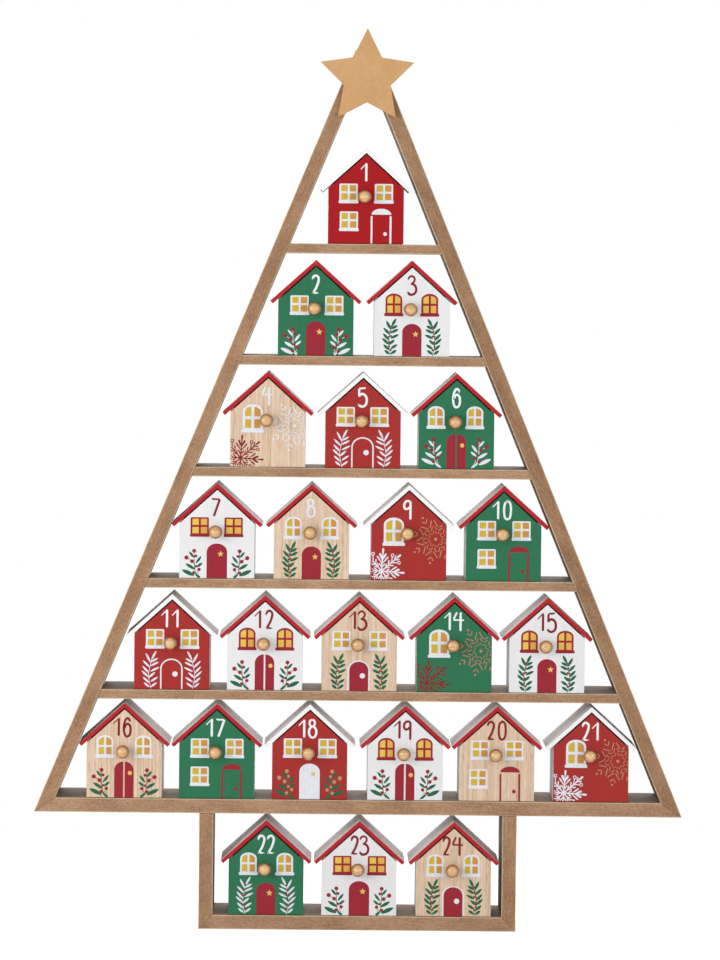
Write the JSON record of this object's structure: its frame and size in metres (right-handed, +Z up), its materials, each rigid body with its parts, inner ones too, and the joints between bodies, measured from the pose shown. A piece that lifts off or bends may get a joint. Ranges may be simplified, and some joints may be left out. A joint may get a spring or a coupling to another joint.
{
  "type": "advent calendar",
  "caption": "Tree-shaped wooden advent calendar: a board frame with shelves and a trunk, holding small roofed houses with pull-out drawers.",
  "frame": {"origin": "under the middle of the whole object, on the surface it stands on", "axes": "+Z up to the star, +X to the right as seen from the front, +Y from the knobs to the back"},
  "size_m": [0.4314, 0.0682, 0.5995],
  "materials": {
    "brown_board": "raw medium-density fibreboard, matte",
    "pale_board": "raw pale fibreboard, matte",
    "case_white": "white paint on thin board, eggshell",
    "front_red": "red paint on thin board, satin",
    "front_green": "green paint on thin board, satin",
    "front_white": "white paint on thin board, satin",
    "front_wood": "bare light plywood, fine sanded"
  },
  "bodies": {
    "tree": {"left_rail": "brown_board", "right_rail": "brown_board", "base_rail": "brown_board", "shelf_1": "brown_board", "shelf_2": "brown_board", "shelf_3": "brown_board", "shelf_4": "brown_board", "shelf_5": "brown_board", "trunk_left": "brown_board", "trunk_right": "brown_board", "trunk_base": "brown_board", "star": "pale_board", "house_01": "case_white", "house_02": "case_white", "house_03": "case_white", "house_04": "case_white", "house_05": "case_white", "house_06": "case_white", "house_07": "case_white", "house_08": "case_white", "house_09": "case_white", "house_10": "case_white", "house_11": "case_white", "house_12": "case_white", "house_13": "case_white", "house_14": "case_white", "house_15": "case_white", "house_16": "case_white", "house_17": "case_white", "house_18": "case_white", "house_19": "case_white", "house_20": "case_white", "house_21": "case_white", "house_22": "case_white", "house_23": "case_white", "house_24": "case_white"},
    "drawer_01": {"drawer_01": "front_red"},
    "drawer_02": {"drawer_02": "front_green"},
    "drawer_03": {"drawer_03": "front_white"},
    "drawer_04": {"drawer_04": "front_wood"},
    "drawer_05": {"drawer_05": "front_red"},
    "drawer_06": {"drawer_06": "front_green"},
    "drawer_07": {"drawer_07": "front_white"},
    "drawer_08": {"drawer_08": "front_wood"},
    "drawer_09": {"drawer_09": "front_red"},
    "drawer_10": {"drawer_10": "front_green"},
    "drawer_11": {"drawer_11": "front_red"},
    "drawer_12": {"drawer_12": "front_white"},
    "drawer_13": {"drawer_13": "front_wood"},
    "drawer_14": {"drawer_14": "front_green"},
    "drawer_15": {"drawer_15": "front_white"},
    "drawer_16": {"drawer_16": "front_wood"},
    "drawer_17": {"drawer_17": "front_green"},
    "drawer_18": {"drawer_18": "front_red"},
    "drawer_19": {"drawer_19": "front_white"},
    "drawer_20": {"drawer_20": "front_wood"},
    "drawer_21": {"drawer_21": "front_red"},
    "drawer_22": {"drawer_22": "front_green"},
    "drawer_23": {"drawer_23": "front_white"},
    "drawer_24": {"drawer_24": "front_wood"}
  },
  "joints": [
    {"name": "drawer_01_slide", "type": "slide", "parent": "tree", "child": "drawer_01", "axis": [0, -1, 0], "range_m": [0, 0.041]},
    {"name": "drawer_02_slide", "type": "slide", "parent": "tree", "child": "drawer_02", "axis": [0, -1, 0], "range_m": [0, 0.041]},
    {"name": "drawer_03_slide", "type": "slide", "parent": "tree", "child": "drawer_03", "axis": [0, -1, 0], "range_m": [0, 0.041]},
    {"name": "drawer_04_slide", "type": "slide", "parent": "tree", "child": "drawer_04", "axis": [0, -1, 0], "range_m": [0, 0.041]},
    {"name": "drawer_05_slide", "type": "slide", "parent": "tree", "child": "drawer_05", "axis": [0, -1, 0], "range_m": [0, 0.041]},
    {"name": "drawer_06_slide", "type": "slide", "parent": "tree", "child": "drawer_06", "axis": [0, -1, 0], "range_m": [0, 0.041]},
    {"name": "drawer_07_slide", "type": "slide", "parent": "tree", "child": "drawer_07", "axis": [0, -1, 0], "range_m": [0, 0.041]},
    {"name": "drawer_08_slide", "type": "slide", "parent": "tree", "child": "drawer_08", "axis": [0, -1, 0], "range_m": [0, 0.041]},
    {"name": "drawer_09_slide", "type": "slide", "parent": "tree", "child": "drawer_09", "axis": [0, -1, 0], "range_m": [0, 0.041]},
    {"name": "drawer_10_slide", "type": "slide", "parent": "tree", "child": "drawer_10", "axis": [0, -1, 0], "range_m": [0, 0.041]},
    {"name": "drawer_11_slide", "type": "slide", "parent": "tree", "child": "drawer_11", "axis": [0, -1, 0], "range_m": [0, 0.041]},
    {"name": "drawer_12_slide", "type": "slide", "parent": "tree", "child": "drawer_12", "axis": [0, -1, 0], "range_m": [0, 0.041]},
    {"name": "drawer_13_slide", "type": "slide", "parent": "tree", "child": "drawer_13", "axis": [0, -1, 0], "range_m": [0, 0.041]},
    {"name": "drawer_14_slide", "type": "slide", "parent": "tree", "child": "drawer_14", "axis": [0, -1, 0], "range_m": [0, 0.041]},
    {"name": "drawer_15_slide", "type": "slide", "parent": "tree", "child": "drawer_15", "axis": [0, -1, 0], "range_m": [0, 0.041]},
    {"name": "drawer_16_slide", "type": "slide", "parent": "tree", "child": "drawer_16", "axis": [0, -1, 0], "range_m": [0, 0.041]},
    {"name": "drawer_17_slide", "type": "slide", "parent": "tree", "child": "drawer_17", "axis": [0, -1, 0], "range_m": [0, 0.041]},
    {"name": "drawer_18_slide", "type": "slide", "parent": "tree", "child": "drawer_18", "axis": [0, -1, 0], "range_m": [0, 0.041]},
    {"name": "drawer_19_slide", "type": "slide", "parent": "tree", "child": "drawer_19", "axis": [0, -1, 0], "range_m": [0, 0.041]},
    {"name": "drawer_20_slide", "type": "slide", "parent": "tree", "child": "drawer_20", "axis": [0, -1, 0], "range_m": [0, 0.041]},
    {"name": "drawer_21_slide", "type": "slide", "parent": "tree", "child": "drawer_21", "axis": [0, -1, 0], "range_m": [0, 0.041]},
    {"name": "drawer_22_slide", "type": "slide", "parent": "tree", "child": "drawer_22", "axis": [0, -1, 0], "range_m": [0, 0.041]},
    {"name": "drawer_23_slide", "type": "slide", "parent": "tree", "child": "drawer_23", "axis": [0, -1, 0], "range_m": [0, 0.041]},
    {"name": "drawer_24_slide", "type": "slide", "parent": "tree", "child": "drawer_24", "axis": [0, -1, 0], "range_m": [0, 0.041]}
  ]
}
